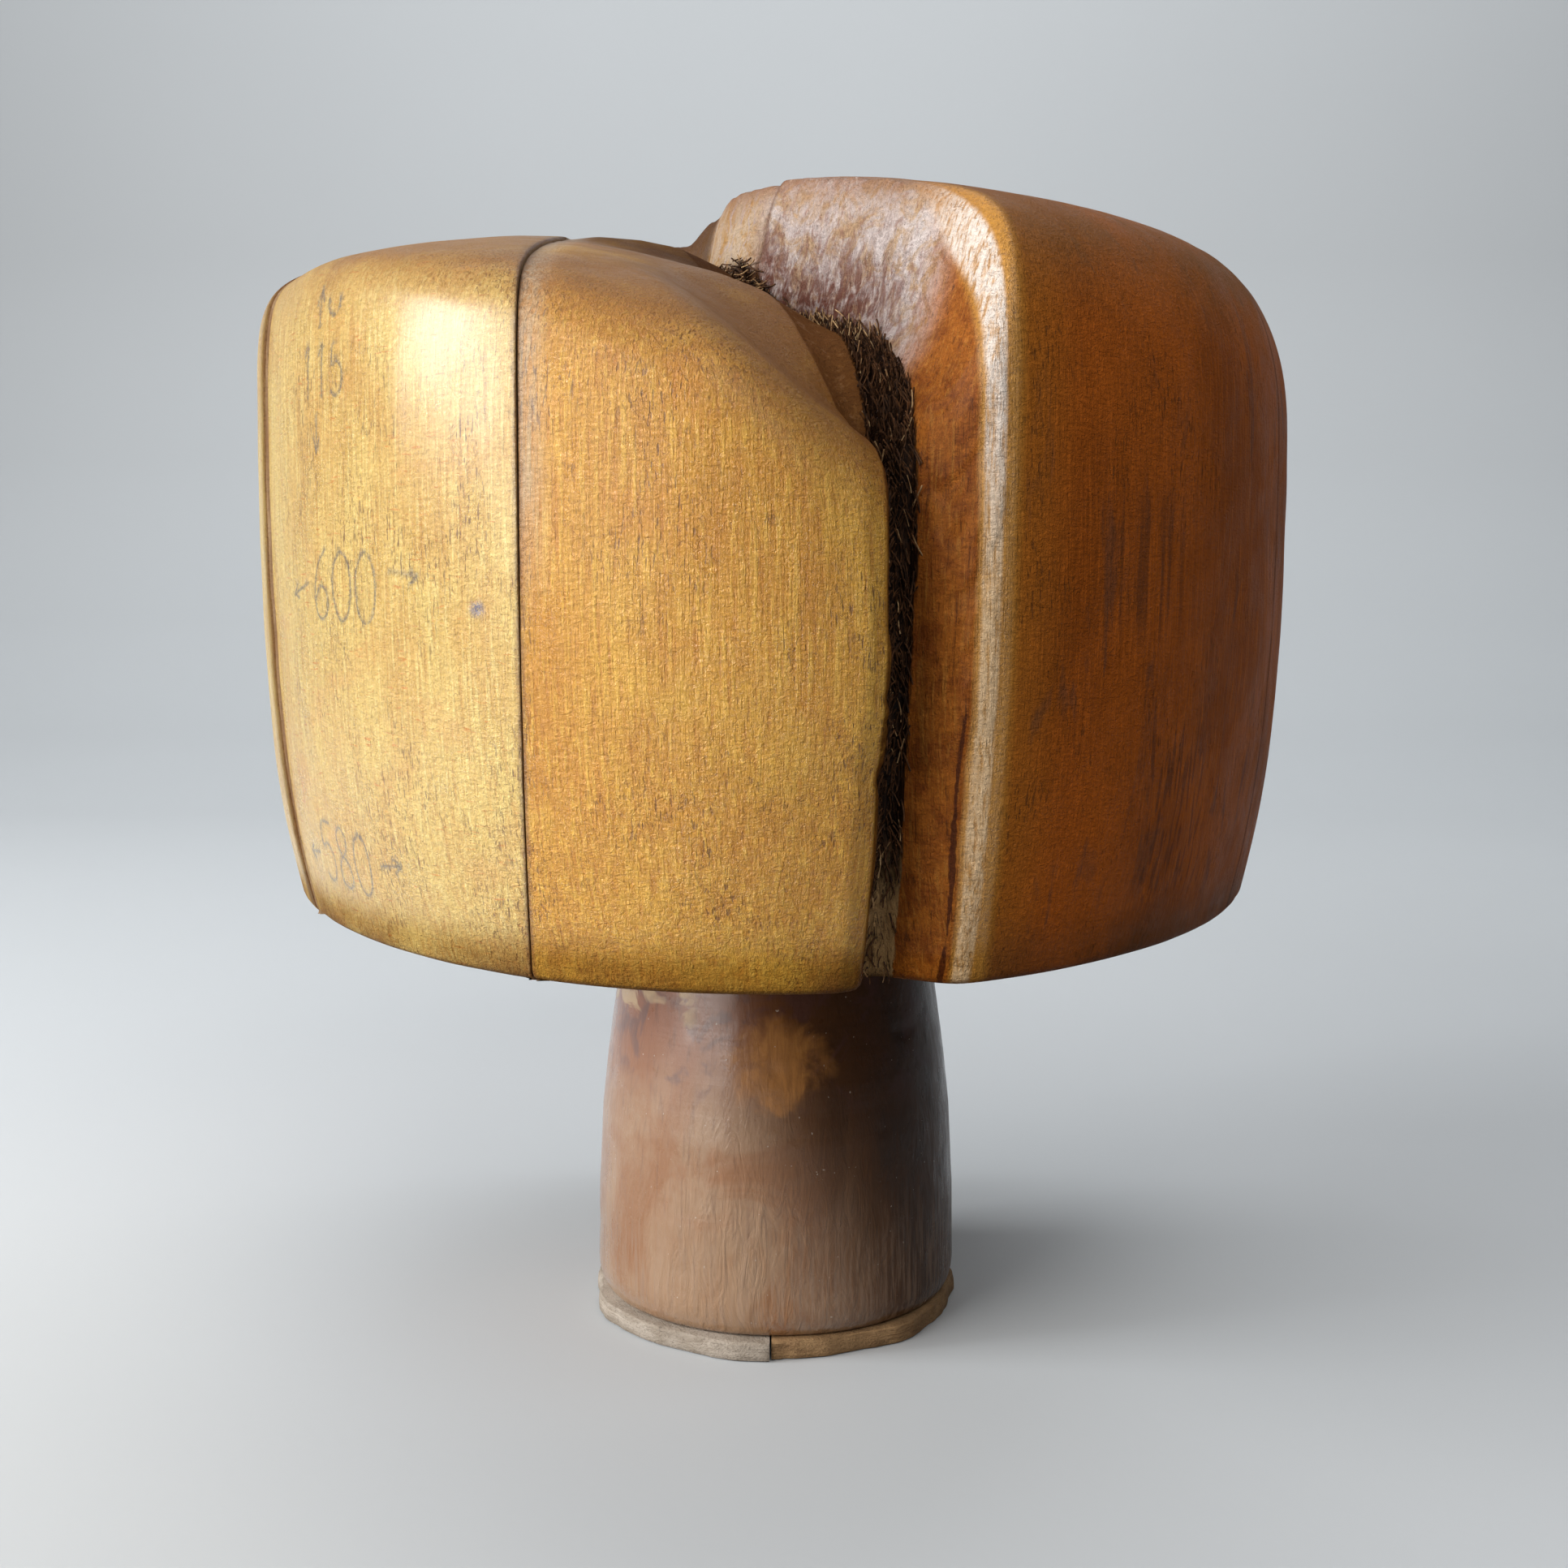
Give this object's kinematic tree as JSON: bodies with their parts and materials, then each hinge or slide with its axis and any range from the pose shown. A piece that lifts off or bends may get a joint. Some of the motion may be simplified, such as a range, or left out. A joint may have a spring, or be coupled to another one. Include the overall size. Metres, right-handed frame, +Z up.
{
  "type": "hat block",
  "caption": "Wooden hat block with a domed segmented crown, a deep swept draping groove and a turned post; the segments slide up off a central key.",
  "frame": {"origin": "centre of the post's foot, on the surface it stands on", "axes": "+Z up along the post, +Y from the narrow front of the crown to its back, +X to the right seen from the front"},
  "size_m": [0.1742, 0.207, 0.1895],
  "materials": {
    "light_maple": "varnished pale yellow wood, worn",
    "golden_maple": "varnished golden brown wood, worn",
    "brown_post": "dark varnished wood",
    "beech_spline": "bare planed wood",
    "grey_board": "worn grey beige board, chipped at the rim",
    "ochre_board": "worn ochre board, chipped at the rim"
  },
  "bodies": {
    "stand": {"post": "brown_post", "foot_pad_left": "grey_board", "foot_pad_right": "ochre_board", "key": "golden_maple", "tenon_pin": "beech_spline", "front_spline": "beech_spline", "back_spline": "beech_spline", "left_spline": "beech_spline", "right_spline": "beech_spline"},
    "front_piece": {"front_piece": "golden_maple"},
    "back_piece": {"back_piece": "golden_maple"},
    "left_side": {"left_side": "light_maple", "left_corner_spline": "beech_spline"},
    "right_side": {"right_side": "golden_maple", "right_corner_spline": "beech_spline"},
    "front_left_corner": {"front_left_corner": "light_maple"},
    "back_right_corner": {"back_right_corner": "light_maple"}
  },
  "joints": [
    {"name": "front_lift", "type": "slide", "parent": "stand", "child": "front_piece", "axis": [0, 0, 1], "range_m": [0, 0.12]},
    {"name": "back_lift", "type": "slide", "parent": "stand", "child": "back_piece", "axis": [0, 0, 1], "range_m": [0, 0.12]},
    {"name": "left_lift", "type": "slide", "parent": "stand", "child": "left_side", "axis": [0, 0, 1], "range_m": [0, 0.12]},
    {"name": "right_lift", "type": "slide", "parent": "stand", "child": "right_side", "axis": [0, 0, 1], "range_m": [0, 0.12]},
    {"name": "front_left_corner_lift", "type": "slide", "parent": "left_side", "child": "front_left_corner", "axis": [0, 0, 1], "range_m": [0, 0.12]},
    {"name": "back_right_corner_lift", "type": "slide", "parent": "right_side", "child": "back_right_corner", "axis": [0, 0, 1], "range_m": [0, 0.12]}
  ]
}
